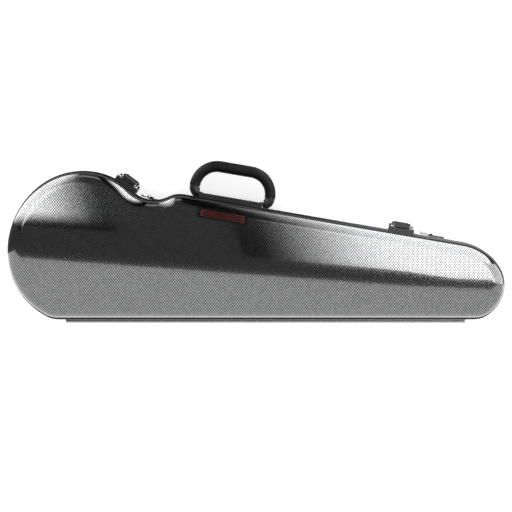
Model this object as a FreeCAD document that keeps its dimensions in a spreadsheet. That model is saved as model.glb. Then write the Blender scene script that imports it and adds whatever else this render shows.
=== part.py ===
import FreeCAD, Part
import math
import os
import re

V = FreeCAD.Vector
doc = FreeCAD.newDocument("violin_case")
sheet = doc.addObject("Spreadsheet::Sheet", "dims")

# The case lies on its back: lid up, handle towards -Y, hinge at +Y, wide bout at +X.
SIZES = {
    # plan outline of the rims: tangent arcs, walked from the wide end's spine corner
    "start_x": (314.2, "spine corner of the wide end"),
    "spine_y": (129.5, "outermost face of the hinge barrel"),
    "spine_gap": (5.4, "rim's spine face, in from the hinge's outer face"),
    "spine_corner_r": (40.0, "both spine corners"),
    "spine_corner_turn": (26.8, ""),
    "lower_bout_r": (114.8, "bout on the spine side"),
    "lower_bout_turn": (54.9, ""),
    "wide_end_turn": (58.0, "wide end; its radius closes the outline"),
    "upper_bout_r": (113.9, "bout on the handle side"),
    "upper_bout_turn": (84.5, ""),
    "waist_r": (49.2, "hollow waist"),
    "waist_turn": (-70.6, ""),
    "shoulder_r": (40.3, "shoulder after the waist"),
    "shoulder_turn": (36.1, ""),
    "handle_side": (448.7, "straight handle side"),
    "nose_front_r": (90.2, "nose, handle side"),
    "nose_front_turn": (44.5, ""),
    "nose_r": (55.2, "nose, tip"),
    "nose_turn": (72.4, ""),
    "nose_rear_r": (69.6, "nose, spine side"),
    "nose_rear_turn": (17.2, ""),
    # shells
    "wall": (2.8, "laminate thickness"),
    "draft": (2.5, "side wall draft, degrees"),
    "lip": (2.5, "rim's lip outside the wall"),
    "part_z": (66.0, "top of the base rim"),
    "rim_gap": (0.6, "between the closed rims"),
    "rim_h": (9.0, "height of each rim"),
    "rim_w": (7.3, "width of each rim"),
    "rim_cap": (2.0, "rim material over the wall's edge"),
    "base_low": (7.0, "lowest point of the base shell"),
    "lid_high": (131.0, "highest point of the lid"),
    "lid_cross_r": (420.0, "lid crown across the case"),
    "lid_long_r": (12000.0, "lid crown along the case"),
    "base_cross_r": (1500.0, "base crown across the case"),
    "base_long_r": (24000.0, "base crown along the case"),
    "crown_x": (150.0, "station of the crowns' peak"),
    "crown_y": (21.0, ""),
    "crown_turn": (-5.1, "crown line against the spine, degrees"),
    "lid_round": (21.0, "lid edge radius"),
    "base_round": (18.0, "base edge radius"),
    "seal_w": (2.6, "rubber seal"),
    "seal_in": (2.6, "seal groove, in from the rim's outer face"),
    "seal_depth": (1.3, ""),
    "foot_r": (10.0, "rubber feet"),
    # piano hinge
    "hinge_len": (636.0, "piano hinge length"),
    "hinge_x": (-15.0, "middle of the hinge"),
    "knuckles": (25, "alternating knuckles"),
    "barrel_r": (2.4, ""),
    "hinge_pin_r": (1.0, ""),
    "hinge_in": (2.5, "hinge axis, in from the outermost face"),
    "leaf_t": (1.2, ""),
    "leaf_h": (5.8, ""),
    "knuckle_gap": (0.5, ""),
    # handle
    "handle_x": (41.0, "station of the handle's middle"),
    "bar_len": (103.0, "handle base bar"),
    "bar_out": (8.0, "bar's face outside the rim line"),
    "bar_z": (30.0, ""),
    "bar_h": (22.0, ""),
    "bail_half": (61.2, "leg centreline from the middle"),
    "bail_reach": (47.8, "grip centreline from the pivot"),
    "bail_r": (8.0, "bail legs"),
    "bail_pin_r": (3.0, ""),
    "pivot_out": (6.5, "pivot outside the rim line"),
    "bail_foot_r": (9.2, "bend next to the pivot"),
    "bail_top_r": (36.0, "bend next to the grip"),
    "grip_r": (9.2, "grip at its middle"),
    "grip_end_r": (8.7, "grip at its ends"),
    # draw latches
    "bout_latch_x": (207.0, ""),
    "neck_latch_x": (-231.0, ""),
    "latch_w": (38.0, "latch plate"),
    "plate_out": (3.5, "plate's face outside the rim line"),
    "plate_z": (35.0, ""),
    "plate_h": (21.0, ""),
    "lever_w": (29.0, ""),
    "lever_t": (2.5, ""),
    "lever_h": (18.0, ""),
    "lever_z": (38.0, ""),
    "pin_out": (7.5, "lever pivot outside the rim line"),
    "pin_z": (54.0, ""),
    "pin_r": (1.5, ""),
    "link_out": (10.5, "claw pivot outside the rim line"),
    "link_z": (45.0, ""),
    "link_r": (1.2, ""),
    "claw_w": (21.0, ""),
    "claw_t": (2.0, ""),
    "claw_h": (34.5, ""),
    "keeper_w": (40.0, ""),
    "keeper_h": (9.5, ""),
    "keeper_out": (6.2, ""),
    "keeper_z": (69.5, ""),
    # strap ring fittings
    "bout_ring_x": (172.0, ""),
    "neck_ring_x": (-276.0, ""),
    "ring_plate_l": (22.0, ""),
    "ring_plate_h": (18.0, ""),
    "ring_plate_z": (36.0, ""),
    "ring_out": (4.2, "ring axis outside the rim line"),
    "ring_wire_r": (1.5, ""),
    "ring_r": (9.0, "bend of the D"),
    "post_r": (3.2, ""),
    "post_h": (8.0, ""),
    # badge
    "badge_x": (52.5, ""),
    "badge_y": (-39.5, ""),
    "badge_l": (80.0, ""),
    "badge_w": (17.0, ""),
    "badge_t": (1.2, ""),
    "staff_t": (0.4, "inlay above the badge"),
    # padded interior
    "lining_top": (57.0, "meets the base rim's underside"),
    "bed_z": (22.0, "floor of the instrument's bed"),
    "bed_x": (272.0, "centre of the bed's lower bout"),
    "bed_y": (6.5, ""),
    "bed_turn": (-6.2, "instrument's axis against the spine, degrees"),
    "bed_low_r": (104.0, "lower bout hollow"),
    "bed_up_r": (85.0, "upper bout hollow"),
    "bout_span": (190.0, "between the bout centres"),
    "bed_waist": (136.0, ""),
    "neck_w": (52.0, "neck channel"),
    "scroll_end": (500.0, "scroll well's far end from the lower bout's centre"),
    "box_start": (512.0, "accessory box from the lower bout's centre"),
    "box_l": (56.0, ""),
    "box_w": (76.0, ""),
    "box_floor": (16.0, ""),
    "ledge": (5.0, ""),
    "board_t": (5.0, "accessory box lid"),
    "board_gap": (1.5, ""),
    "lid_pad": (5.0, "lid lining thickness"),
    "pad_h": (12.0, "suspension cushions"),
    "tie_w": (24.0, "neck tie"),
    "tie_t": (1.8, ""),
    "spinner_l": (44.0, "bow spinners"),
    "spinner_w": (13.0, ""),
    "spinner_t": (6.0, ""),
    "spinner_z": (91.0, ""),
    "spinner_pin_r": (2.3, ""),
    "pocket_l": (52.0, "bow tip pockets"),
    "pocket_w": (26.0, ""),
    "pocket_z": (98.0, ""),
}
for row, (key, (value, note)) in enumerate(SIZES.items(), start=1):
    sheet.set("A%d" % row, key)
    sheet.set("B%d" % row, str(value))
    sheet.set("C%d" % row, note)
    sheet.setAlias("B%d" % row, key)
doc.recompute()
D = {key: float(sheet.get(key)) for key in SIZES}


def bind(obj, **sizes):
    """Tie properties to expressions over the sheet's names."""
    for prop, text in sizes.items():
        obj.setExpression(prop, re.sub(r"[a-z]\w*", lambda m: "dims." + m.group(0), text))
    return obj


def place(x=0.0, y=0.0, z=0.0, turn=0.0):
    return FreeCAD.Placement(V(x, y, z), FreeCAD.Rotation(V(0, 0, 1), turn))


def box(name, frame, corner, size):
    b = doc.addObject("Part::Box", name)
    bind(b, Length=size[0], Width=size[1], Height=size[2])
    b.Placement = frame * place(*corner)
    return b


def rod(name, frame, start, axis, radius, length):
    c = doc.addObject("Part::Cylinder", name)
    bind(c, Radius=radius, Height=length)
    c.Placement = frame * FreeCAD.Placement(V(*start), FreeCAD.Rotation(V(0, 0, 1), V(*axis)))
    return c


def fuse(name, *shapes):
    f = doc.addObject("Part::MultiFuse", name)
    f.Shapes = list(shapes)
    return f


def common(name, *shapes):
    c = doc.addObject("Part::MultiCommon", name)
    c.Shapes = list(shapes)
    return c


def cut(name, base, *tools):
    c = doc.addObject("Part::Cut", name)
    c.Base = base
    c.Tool = tools[0] if len(tools) == 1 else fuse(name + "_tools", *tools)
    return c


def group(name, shapes):
    g = doc.addObject("Part::Compound", name)
    g.Links = list(shapes)
    return g


def rounded(name, base, radius, wanted, kind="Part::Fillet"):
    doc.recompute()
    f = doc.addObject(kind, name)
    f.Base = base
    f.Edges = [(i, radius, radius) for i, e in enumerate(base.Shape.Edges, start=1) if wanted(e)]
    return f


def along(edge, direction):
    return edge.Curve.TypeId == "Part::GeomLine" and abs(abs(edge.tangentAt(0).dot(direction)) - 1) < 1e-6


# ---- plan outline ---------------------------------------------------------------
CHAIN = [(D["spine_corner_r"], D["spine_corner_turn"]), (D["lower_bout_r"], D["lower_bout_turn"]),
         (None, D["wide_end_turn"]), (D["upper_bout_r"], D["upper_bout_turn"]),
         (D["waist_r"], D["waist_turn"]), (D["shoulder_r"], D["shoulder_turn"]),
         ("straight", D["handle_side"]), (D["nose_front_r"], D["nose_front_turn"]),
         (D["nose_r"], D["nose_turn"]), (D["nose_rear_r"], D["nose_rear_turn"])]
CHAIN.append((D["spine_corner_r"], 360 - sum(a for r, a in CHAIN if r != "straight")))


def walk(wide_end_r):
    """Edges of the outline, and how far from the spine line its far end is."""
    x, y, heading = D["start_x"], D["spine_y"] - D["spine_gap"], 0.0
    first, edges = V(x, y, 0), []
    for radius, amount in CHAIN:
        here = V(x, y, 0)
        if radius == "straight":
            x += amount * math.cos(heading)
            y -= amount * math.sin(heading)
            edges.append(Part.LineSegment(here, V(x, y, 0)).toShape())
            continue
        turn = math.radians(amount)
        swing = math.copysign(radius or wide_end_r, turn)
        cx, cy = x - swing * math.sin(heading), y - swing * math.cos(heading)
        mid = V(cx + swing * math.sin(heading + turn / 2), cy + swing * math.cos(heading + turn / 2), 0)
        heading += turn
        x, y = cx + swing * math.sin(heading), cy + swing * math.cos(heading)
        edges.append(Part.Arc(here, mid, V(x, y, 0)).toShape())
    edges.append(Part.LineSegment(V(x, y, 0), first).toShape())
    return edges, y - first.y


miss_low, miss_high = walk(100.0)[1], walk(160.0)[1]
wide_end_r = 100.0 + 60.0 * miss_low / (miss_low - miss_high)
outline = doc.addObject("Part::Feature", "outline")
outline.Shape = Part.Wire(walk(wide_end_r)[0])


def station(x):
    """Frame on the handle side of the outline: local X along the rim, local -Y outwards."""
    probe = Part.makeLine(V(x, -300, 0), V(x, 10, 0))
    _, points, info = outline.Shape.distToShape(probe)
    tangent = outline.Shape.Edges[info[0][1]].tangentAt(info[0][2])
    turn = math.degrees(math.atan2(tangent.y, tangent.x))
    turn = turn - 180 if turn > 90 else turn + 180 if turn < -90 else turn
    return place(points[0][0].x, points[0][0].y, 0, turn)


# ---- shells ---------------------------------------------------------------------
def prism(name, inset, z, height, taper="0", down=False):
    """Upright prism on the outline, moved in by inset."""
    plan = doc.addObject("Part::Offset2D", name + "_plan")
    plan.Source = outline
    plan.Join = 0
    bind(plan, Value="0 - (" + inset + ")")
    p = doc.addObject("Part::Extrusion", name)
    p.Base = plan
    p.DirMode = "Custom"
    p.Dir = V(0, 0, -1 if down else 1)
    p.Solid = True
    bind(p, LengthFwd=height, TaperAngle=taper)
    p.Placement = place(0, 0, z)
    return p


def hull(name, grow, side):
    """Drafted, crowned and rounded solid of one shell, grown outwards by grow."""
    up = side == "lid"
    g = D["grow_" + grow] if grow else 0.0
    plus = " + " + ("(" + GROW[grow] + ")" if grow else "0")
    start = D["part_z"] + D["rim_gap"] + D["rim_cap"] if up else D["part_z"] - D["rim_cap"]
    side_wall = prism(name + "_wall", "lip - (0" + plus + ")", start, "lid_high", "0 - draft", down=not up)
    crown = doc.addObject("Part::Torus", name + "_crown")
    bind(crown, Radius1=side + "_long_r - " + side + "_cross_r", Radius2=side + "_cross_r" + plus)
    middle = D["lid_high"] - D["lid_long_r"] if up else D["base_low"] + D["base_long_r"]
    lying = FreeCAD.Rotation(V(0, 0, 1), D["crown_turn"]) * FreeCAD.Rotation(V(1, 0, 0), 90)
    crown.Placement = FreeCAD.Placement(V(D["crown_x"], D["crown_y"], middle), lying)
    body = common(name + "_body", side_wall, crown)
    far = start + 20 if up else start - 20
    edge_r = D[side + "_round"] + g
    return rounded(name, body, edge_r, lambda e: (e.CenterOfMass.z > far) == up and abs(e.CenterOfMass.z - far) > 1
                   and not abs(e.tangentAt(e.FirstParameter).z) > 0.7)


GROW = {"in": "0 - wall", "pad": "0 - wall - lid_pad", "badge": "badge_t", "staff": "badge_t + staff_t"}
D["grow_in"] = -D["wall"]
D["grow_pad"] = -D["wall"] - D["lid_pad"]
D["grow_badge"] = D["badge_t"]
D["grow_staff"] = D["badge_t"] + D["staff_t"]

base_hull = hull("base_hull", "", "base")
base_void = hull("base_void", "in", "base")
lid_hull = hull("lid_hull", "", "lid")
lid_void = hull("lid_void", "in", "lid")
base_shell = cut("base_shell", base_hull, base_void)
lid_shell = cut("lid_shell", lid_hull, lid_void)

here = place()
lid_z = D["part_z"] + D["rim_gap"]


def rim(name, z, shell):
    """Rim that grips a shell's edge; its two outer edges are eased."""
    outer = prism(name + "_outer", "0", z, "rim_h")
    eased = rounded(name + "_eased", outer, 0.7, lambda e: abs(e.tangentAt(e.FirstParameter).z) < 0.1,
                    "Part::Chamfer")
    inner = prism(name + "_inner", "rim_w", z - 1, "rim_h + 2")
    return cut(name, eased, inner, shell)


seal_z = D["part_z"] - D["seal_depth"]
seal = cut("rim_seal", prism("seal_outer", "seal_in", seal_z, "seal_depth + rim_gap / 2"),
           prism("seal_inner", "seal_in + seal_w", seal_z - 1, "seal_depth + 4"))
rim_tool = cut("seal_groove", prism("groove_outer", "seal_in", seal_z, "seal_depth + 1"),
               prism("groove_inner", "seal_in + seal_w", seal_z - 1, "seal_depth + 4"))
base_rim = cut("base_rim", rim("base_rim_blank", D["part_z"] - D["rim_h"], base_shell), rim_tool)
lid_rim = rim("lid_rim", lid_z, lid_shell)

feet = []
for i, (x, y) in enumerate([(285, 96), (300, -70), (-318, 96), (-318, 40)]):
    foot = rod("foot_%d" % i, here, (x, y, 0), (0, 0, 1), "foot_r", "2 * base_low + 8")
    feet.append(cut("foot_cut_%d" % i, rounded("foot_round_%d" % i, foot, 1.5,
                lambda e: e.CenterOfMass.z < 0.1 and e.Closed, "Part::Fillet"), base_hull))
feet_group = group("feet", feet)

# ---- piano hinge ----------------------------------------------------------------
axis_y = D["spine_y"] - D["hinge_in"]
axis_z = D["part_z"] + D["rim_gap"] / 2
x0 = D["hinge_x"] - D["hinge_len"] / 2
pitch = D["hinge_len"] / D["knuckles"]
rim_face = D["spine_y"] - D["spine_gap"]
hinge_pin = rod("hinge_pin", here, (x0 + 0.5, axis_y, axis_z), (1, 0, 0), "hinge_pin_r", "hinge_len - 1")
for side, first in (("base", 0), ("lid", 1)):
    leaf_z = D["part_z"] - 2.6 - D["leaf_h"] if side == "base" else lid_z + 2.6
    web_z = leaf_z if side == "base" else axis_z + 0.4
    leaf = box(side + "_leaf_plate", here, (x0, rim_face, leaf_z), ("hinge_len", "leaf_t", "leaf_h"))
    web = box(side + "_leaf_web", here, (x0, rim_face + 0.1, web_z),
              ("hinge_len", "leaf_t - 0.1", "leaf_h + 2.3"))
    barrel = rod(side + "_barrel", here, (x0, axis_y, axis_z), (1, 0, 0), "barrel_r", "hinge_len")
    slots = []
    for i in range(1 - first, int(D["knuckles"]), 2):
        slots.append(box("%s_slot_%d" % (side, i), here, (x0 + i * pitch - D["knuckle_gap"] / 2, rim_face - 1,
                     axis_z - 3.0), ("hinge_len / knuckles + knuckle_gap", "spine_gap + 2", "6")))
    bore = rod(side + "_bore", here, (x0 - 1, axis_y, axis_z), (1, 0, 0), "hinge_pin_r + 0.05", "hinge_len + 2")
    cut("hinge_%s_leaf" % side, fuse(side + "_leaf_blank", leaf, cut(side + "_knuckles",
        fuse(side + "_roll", web, barrel), *slots)), bore)

# ---- handle ---------------------------------------------------------------------
grip_frame = station(D["handle_x"])
pivot_z = D["bar_z"] + D["bar_h"] / 2
bar = box("bar_block", grip_frame, (-D["bar_len"] / 2, -D["bar_out"], D["bar_z"]), ("bar_len", "bar_out + 12", "bar_h"))
ex = grip_frame.Rotation.multVec(V(1, 0, 0))
ey = grip_frame.Rotation.multVec(V(0, 1, 0))
ez = V(0, 0, 1)
inward = grip_frame.inverse()
bar_soft = rounded("bar_soft", bar, 4.0, lambda e: along(e, ez) and inward.multVec(e.CenterOfMass).y < 0)
bar_round = rounded("bar_round", bar_soft, 1.6, lambda e: inward.multVec(e.CenterOfMass).y < 2
                    and not along(e, ez) and abs(inward.multVec(e.CenterOfMass).z - pivot_z) > 5)
sockets = [rod("socket_%d" % s, grip_frame, (s * (D["bar_len"] / 2 - 5), -D["pivot_out"], pivot_z), (s, 0, 0),
               "bail_pin_r + 0.3", "12") for s in (-1, 1)]
handle_base = cut("handle_base", bar_round, base_hull, base_rim, *sockets)
screws = []
for i, x in enumerate((-32, 32)):
    head = rod("handle_screw_%d" % i, grip_frame, (x, -D["bar_out"], pivot_z), (0, -1, 0), "3.6", "1.4")
    screws.append(rounded("handle_screw_dome_%d" % i, head, 1.1, lambda e: e.Closed
                  and inward.multVec(e.CenterOfMass).y < -D["bar_out"] - 1))
group("handle_screws", screws)

py, reach, half = -D["pivot_out"], D["bail_reach"], D["bail_half"]
foot_r, top_r = D["bail_foot_r"], D["bail_top_r"]
k = math.sqrt(0.5)


def bail_path(name, with_feet):
    """Centreline of the bail in its own plane, or of the grip alone."""
    def side_run(s):
        elbow = V(s * (half - foot_r), py - foot_r, 0)
        bend = V(s * (half - top_r), py - reach + top_r, 0)
        foot = Part.Arc(V(elbow.x, py, 0), elbow + V(s * k * foot_r, k * foot_r, 0), V(s * half, elbow.y, 0))
        leg = Part.LineSegment(V(s * half, elbow.y, 0), V(s * half, bend.y, 0))
        top = Part.Arc(V(s * half, bend.y, 0), bend + V(s * k * top_r, -k * top_r, 0), V(bend.x, py - reach, 0))
        return [foot, leg, top] if with_feet else [top]
    across = Part.LineSegment(V(-half + top_r, py - reach, 0), V(half - top_r, py - reach, 0))
    edges = [c.toShape() for c in side_run(-1) + [across] + side_run(1)[::-1]]
    path = doc.addObject("Part::Feature", name)
    path.Shape = Part.Wire(edges)
    path.Placement = grip_frame * place(0, 0, pivot_z)
    return path


def section(name, point, normal, radius):
    c = doc.addObject("Part::Circle", name)
    bind(c, Radius=radius)
    c.Placement = grip_frame * FreeCAD.Placement(V(point[0], point[1], pivot_z), FreeCAD.Rotation(ez, V(*normal)))
    return c


def sweep(name, path, sections):
    s = doc.addObject("Part::Sweep", name)
    s.Sections = sections
    s.Spine = (path, [])
    s.Solid = True
    s.Frenet = False
    return s


bail_line = bail_path("bail_line", True)
tube = sweep("bail_tube", bail_line, [section("bail_end", (-half + foot_r, py), (-1, 0, 0), "bail_r")])
stubs = [rod("bail_pin_%d" % s, grip_frame, (s * (D["bar_len"] / 2 - 4.5), py, pivot_z), (s, 0, 0), "bail_pin_r", "6")
         for s in (-1, 1)]
bail = fuse("handle_bail", tube, *stubs)
grip_line = bail_path("grip_line", False)
leg_y = py - reach + top_r
sleeve = sweep("grip_sleeve", grip_line, [
    section("grip_a", (-half, leg_y), (0, -1, 0), "grip_end_r"),
    section("grip_b", (-half + top_r, py - reach), (1, 0, 0), "grip_r - 0.1"),
    section("grip_c", (0, py - reach), (1, 0, 0), "grip_r"),
    section("grip_d", (half - top_r, py - reach), (1, 0, 0), "grip_r - 0.1"),
    section("grip_e", (half, leg_y), (0, 1, 0), "grip_end_r")])
cut("handle_grip", sleeve, tube)

# ---- draw latches ---------------------------------------------------------------
latch_rivets = []
keeper_rivets = []
for which in ("bout", "neck"):
    f = station(D[which + "_latch_x"])
    back = f.inverse()

    def local(e):
        return back.multVec(e.CenterOfMass)
    n = which + "_latch_"
    hw, lw, cw = D["latch_w"] / 2, D["lever_w"] / 2, D["claw_w"] / 2
    out, pz, po, lz, lo = D["plate_out"], D["pin_z"], D["pin_out"], D["link_z"], D["link_out"]
    block = box(n + "block", f, (-hw, -out, D["plate_z"]), ("latch_w", "plate_out + 14", "plate_h"))
    block = rounded(n + "block_soft", block, 1.2, lambda e: local(e).y < -out + 0.1)
    ears = [box("%sear_%d" % (n, s), f, (s * (hw - 1.75) - 1.75, -po - 3.2, pz - 5.5), ("3.5", "pin_out + 1", "7.5"))
            for s in (-1, 1)]
    hole = rod(n + "hole", f, (-hw - 3, -po, pz), (1, 0, 0), "pin_r", "latch_w + 6")
    cut(n + "plate", fuse(n + "blank", block, *ears), hole, base_hull, base_rim)
    rod(n + "pin", f, (-hw - 1.2, -po, pz), (1, 0, 0), "pin_r", "latch_w + 2.4")

    face = box(n + "face", f, (-lw, -po - 7.0, D["lever_z"]), ("lever_w", "lever_t", "lever_h"))
    face = rounded(n + "face_soft", face, 1.1, lambda e: local(e).y < -po - 6.9)
    lip = box(n + "lip", f, (-lw + 3, -po - 8.2, D["lever_z"]), ("lever_w - 6", "2", "2.6"))
    parts = [face, rounded(n + "lip_soft", lip, 0.8, lambda e: local(e).y < -po - 8.1)]
    for s in (-1, 1):
        x = s * (lw - 1.4) - 1.4
        parts.append(box("%scheek_%d" % (n, s), f, (x, -po - 5.0, lz - 2.6), ("2.8", "3.6", "pin_z - link_z + 3")))
        parts.append(rod("%shub_%d" % (n, s), f, (x, -po, pz), (1, 0, 0), "3.3", "2.8"))
        parts.append(box("%sarm_%d" % (n, s), f, (x, -po - 5.0, pz - 3.3), ("2.8", "5.0", "5.2")))
    fork = box(n + "fork", f, (-cw - 0.7, -po - 9.0, lz - 2.8), ("claw_w + 1.4", "6", "20"))
    pivots = [fork, rod(n + "lever_bore", f, (-hw, -po, pz), (1, 0, 0), "pin_r + 0.05", "latch_w"),
              rod(n + "link_bore", f, (-hw, -lo, lz), (1, 0, 0), "link_r", "latch_w")]
    cut(n + "lever", fuse(n + "lever_blank", *parts), *pivots)
    rod(n + "link_pin", f, (-lw + 0.2, -lo, lz), (1, 0, 0), "link_r", "lever_w - 0.4")

    shank = box(n + "shank", f, (-cw, -lo - 1.0, lz), ("claw_w", "claw_t", "claw_h"))
    hook = box(n + "hook", f, (-cw, -lo - 1.0, lz + D["claw_h"] - 3.0), ("claw_w", "claw_t + 2.9", "3"))
    window = box(n + "window", f, (-cw + 5, -lo - 3, lz + 6), ("claw_w - 10", "8", "claw_h - 14"))
    eye = rod(n + "eye", f, (-cw, -lo, lz), (1, 0, 0), "link_r + 1.1", "claw_w")
    claw_bore = rod(n + "claw_bore", f, (-cw - 1, -lo, lz), (1, 0, 0), "link_r + 0.05", "claw_w + 2")
    cut(n + "claw", fuse(n + "claw_blank", shank, hook, eye), window, claw_bore)

    kw, kz, ko = D["keeper_w"] / 2, D["keeper_z"], D["keeper_out"]
    catch = box(n + "catch", f, (-kw, -ko, kz), ("keeper_w", "keeper_out + 14", "keeper_h"))
    catch = rounded(n + "catch_soft", catch, 1.4, lambda e: local(e).y < -ko + 0.1, "Part::Chamfer")
    cut(n + "keeper", catch, lid_hull, lid_rim)
    for i, x in enumerate((-kw + 4.5, kw - 4.5)):
        head = rod("%skeeper_rivet_%d" % (n, i), f, (x, -ko, kz + 5), (0, -1, 0), "2.3", "1")
        keeper_rivets.append(rounded("%skeeper_dome_%d" % (n, i), head, 0.8, lambda e: e.Closed
                             and local(e).y < -ko - 0.5))
    for i, x in enumerate((-hw + 4.5, hw - 4.5)):
        head = rod("%srivet_%d" % (n, i), f, (x, -out, D["plate_z"] + 4.5), (0, -1, 0), "2.3", "1")
        latch_rivets.append(rounded("%sdome_%d" % (n, i), head, 0.8, lambda e: e.Closed
                            and local(e).y < -out - 0.5))
group("latch_rivets", latch_rivets)
group("keeper_rivets", keeper_rivets)

# ---- strap ring fittings --------------------------------------------------------
ring_rivets = []
for which in ("bout", "neck"):
    f = station(D[which + "_ring_x"])
    back = f.inverse()
    n = which + "_ring_"
    ro, rz, rr = D["ring_out"], D["ring_plate_z"] + D["ring_plate_h"] / 2, D["ring_r"]
    gap = D["post_r"] + 0.6
    plate = box(n + "block", f, (-gap - D["ring_plate_l"], -3.2, D["ring_plate_z"]),
                ("ring_plate_l", "20", "ring_plate_h"))
    plate = rounded(n + "block_soft", plate, 6.5, lambda e: along(e, f.Rotation.multVec(V(0, 1, 0)))
                    and back.multVec(e.CenterOfMass).x < -gap - 5)
    plate = rounded(n + "block_face", plate, 1.0, lambda e: back.multVec(e.CenterOfMass).y < -3.1)
    web = box(n + "web", f, (-gap - 3, -5.2, rz - 4), ("post_r + 3.6", "4.2", "post_h"))
    bore = rod(n + "bore", f, (0, -ro, rz - 12), (0, 0, 1), "ring_wire_r + 0.3", "24")
    cut(n + "plate", fuse(n + "blank", plate, web), bore, base_hull, base_rim)
    boss = rod(n + "boss_blank", f, (0, -ro, rz - D["post_h"] / 2), (0, 0, 1), "post_r", "post_h")
    cut(n + "boss", boss, bore, web, base_hull)
    pieces = [rod(n + "bar", f, (0, -ro, rz - rr), (0, 0, 1), "ring_wire_r", "2 * ring_r")]
    for s in (-1, 1):
        pieces.append(rod("%sarm_%d" % (n, s), f, (0, -ro, rz + s * rr), (1, 0, 0), "ring_wire_r", "3"))
        ball = doc.addObject("Part::Sphere", "%sball_%d" % (n, s))
        bind(ball, Radius="ring_wire_r")
        ball.Placement = f * place(0, -ro, rz + s * rr)
        pieces.append(ball)
    bow = doc.addObject("Part::Torus", n + "bow")
    bind(bow, Radius1="ring_r", Radius2="ring_wire_r", Angle3="180")
    bow.Placement = f * FreeCAD.Placement(V(3, -ro, rz), FreeCAD.Rotation(V(0, 0, 1), V(1, 0, 0), V(0, -1, 0), "YZX"))
    pieces.append(bow)
    fuse(n[:-1], *pieces)
    head = rod(n + "rivet", f, (-gap - 14, -3.2, rz), (0, -1, 0), "2.3", "1")
    ring_rivets.append(rounded(n + "dome", head, 0.8, lambda e: e.Closed and back.multVec(e.CenterOfMass).y < -3.7))
group("ring_rivets", ring_rivets)

# ---- badge ----------------------------------------------------------------------
badge_frame = place(D["badge_x"], D["badge_y"], 80, grip_frame.Rotation.toEuler()[0])
block = box("badge_block", badge_frame, (-D["badge_l"] / 2, -D["badge_w"] / 2, 0), ("badge_l", "badge_w", "60"))
block = rounded("badge_block_soft", block, 3.0, lambda e: along(e, ez))
lid_badge = hull("lid_badge", "badge", "lid")
lid_staff = hull("lid_staff", "staff", "lid")
badge_plate = cut("badge_plate", common("badge_slab", block, lid_badge), lid_hull)
lines = [box("staff_%d" % i, badge_frame, (-D["badge_l"] / 2 + 7, (i - 2) * 2.3 - 0.25, 0), ("badge_l - 14", "0.5", "60"))
         for i in range(5)]
lines.append(box("staff_start", badge_frame, (-D["badge_l"] / 2 + 6, -5.0, 0), ("1.4", "10.0", "60")))
lines.append(box("staff_end", badge_frame, (D["badge_l"] / 2 - 7.4, -5.0, 0), ("1.4", "10.0", "60")))
cut("badge_staff", common("staff_slab", fuse("staff_prisms", *lines), lid_staff), lid_badge)

# ---- padded interior ------------------------------------------------------------
bed = place(D["bed_x"], D["bed_y"], 0, D["bed_turn"])
floor = D["bed_z"]
deep = "part_z"
hollows = [
    rod("bed_low", bed, (0, 0, floor), (0, 0, 1), "bed_low_r", deep),
    rod("bed_up", bed, (-D["bout_span"], 0, floor), (0, 0, 1), "bed_up_r", deep),
    box("bed_mid", bed, (-D["bout_span"], -D["bed_waist"] / 2, floor), ("bout_span", "bed_waist", deep)),
    box("neck_channel", bed, (-D["scroll_end"], -D["neck_w"] / 2, floor), ("scroll_end - 200", "neck_w", deep)),
    box("scroll_well", bed, (-D["scroll_end"], -D["neck_w"] / 2 - 5, floor - 4), ("90", "neck_w + 10", deep)),
    box("box_mouth", bed, (-D["box_start"] - D["box_l"], -D["box_w"] / 2, D["lining_top"] - D["board_t"] + 0.1),
        ("box_l", "box_w", deep)),
    box("box_well", bed, (-D["box_start"] - D["box_l"] + D["ledge"], -D["box_w"] / 2 + D["ledge"], D["box_floor"]),
        ("box_l - 2 * ledge", "box_w - 2 * ledge", deep)),
]
above = box("above_lining", here, (-500, -300, D["lining_top"]), ("1000", "600", "200"))
cut("base_lining", base_void, above, *hollows)

board_x = -D["box_start"] - D["board_gap"]
board = box("board_block", bed, (board_x - D["box_l"] + 2 * D["board_gap"], -D["box_w"] / 2 + D["board_gap"],
            D["lining_top"] - D["board_t"] + 0.4), ("box_l - 2 * board_gap", "box_w - 2 * board_gap", "board_t"))
rounded("compartment_lid", board, 2.0, lambda e: along(e, ez))
box("compartment_tab", bed, (board_x - D["box_l"] + 8, -6, D["lining_top"] + 0.4), ("20", "12", "1.6"))
for label, x, w, h in (("tail_pad", 52.0, 34.0, 76.0), ("block_pad", -256.0, 26.0, 66.0)):
    pad = box(label + "_block", bed, (x, -h / 2, floor), (str(w), str(h), "pad_h"))
    rounded(label, pad, 4.0, lambda e: e.CenterOfMass.z > floor + 1)
rest = box("neck_rest_block", bed, (-336, -D["neck_w"] / 2, floor), ("44", "neck_w", "pad_h + 12"))
saddle = rod("neck_saddle", bed, (-340, 0, floor + 38), (1, 0, 0), "20", "60")
cut("neck_rest", rest, saddle)
tie = box("neck_tie", bed, (-314 - D["tie_w"] / 2, -D["neck_w"] / 2 - 10, D["lining_top"]),
          ("tie_w", "neck_w + 20", "tie_t"))

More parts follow.
